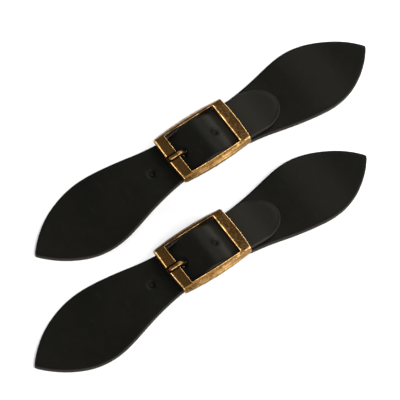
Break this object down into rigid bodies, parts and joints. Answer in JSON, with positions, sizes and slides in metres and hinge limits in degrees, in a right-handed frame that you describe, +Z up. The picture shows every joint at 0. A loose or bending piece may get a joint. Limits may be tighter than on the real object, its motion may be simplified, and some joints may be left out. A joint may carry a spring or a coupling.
{
  "type": "leather tab closure with buckle",
  "caption": "Pair of pointed black leather tab closures, each strap end buckled to its tab by a small antique brass centre-bar buckle.",
  "frame": {"origin": "Middle of the box of both closures, on the surface that they lie on.", "axes": "+X runs along both straps from the billet leaf to the buckle leaf, +Y across them towards closure a, +Z up out of the leather's face."},
  "size_m": [0.2122, 0.08, 0.0142],
  "materials": {
    "black_leather": "smooth black leather with a fine grain and paler cut edges",
    "antique_brass": "dark antique brass, rubbed bright on its edges",
    "bar_steel": "plain drawn steel",
    "rivet_brass": "dull brass"
  },
  "bodies": {
    "tab_a": {"buckle_tab_a": "black_leather", "rivet_cap_a": "rivet_brass", "rivet_post_a": "rivet_brass"},
    "billet_a": {"billet_tab_a": "black_leather"},
    "buckle_a": {"buckle_frame_a": "antique_brass", "heel_bar_a": "bar_steel"},
    "tongue_a": {"prong_a": "antique_brass"},
    "tab_b": {"buckle_tab_b": "black_leather", "rivet_cap_b": "rivet_brass", "rivet_post_b": "rivet_brass"},
    "billet_b": {"billet_tab_b": "black_leather"},
    "buckle_b": {"buckle_frame_b": "antique_brass", "heel_bar_b": "bar_steel"},
    "tongue_b": {"prong_b": "antique_brass"}
  },
  "joints": [
    {"name": "billet_slide_a", "type": "slide", "parent": "tab_a", "child": "billet_a", "axis": [-1, 0, 0], "range_m": [0, 0.07], "deforming": ["billet_tab_a"]},
    {"name": "buckle_swing_a", "type": "hinge", "parent": "tab_a", "child": "buckle_a", "pos_m": [0.0163, 0.02235, 0.0063], "axis": [0, -1, 0], "range_deg": [0, 20]},
    {"name": "prong_swing_a", "type": "hinge", "parent": "buckle_a", "child": "tongue_a", "pos_m": [0.0163, 0.02235, 0.0063], "axis": [0, 1, 0], "range_deg": [0, 95]},
    {"name": "pair_apart", "type": "slide", "parent": "tab_a", "child": "tab_b", "axis": [0, -1, 0], "range_m": [0, 0.05]},
    {"name": "billet_slide_b", "type": "slide", "parent": "tab_b", "child": "billet_b", "axis": [-1, 0, 0], "range_m": [0, 0.07], "deforming": ["billet_tab_b"]},
    {"name": "buckle_swing_b", "type": "hinge", "parent": "tab_b", "child": "buckle_b", "pos_m": [-0.0152, -0.02235, 0.0063], "axis": [0, -1, 0], "range_deg": [0, 20]},
    {"name": "prong_swing_b", "type": "hinge", "parent": "buckle_b", "child": "tongue_b", "pos_m": [-0.0152, -0.02235, 0.0063], "axis": [0, 1, 0], "range_deg": [0, 95]}
  ],
  "couplings": [
    {"joint": "buckle_swing_a", "follows": "billet_slide_a", "rad_per_m": 4.98},
    {"joint": "prong_swing_a", "follows": "billet_slide_a", "rad_per_m": 23.68},
    {"joint": "buckle_swing_b", "follows": "billet_slide_b", "rad_per_m": 4.98},
    {"joint": "prong_swing_b", "follows": "billet_slide_b", "rad_per_m": 23.68}
  ]
}
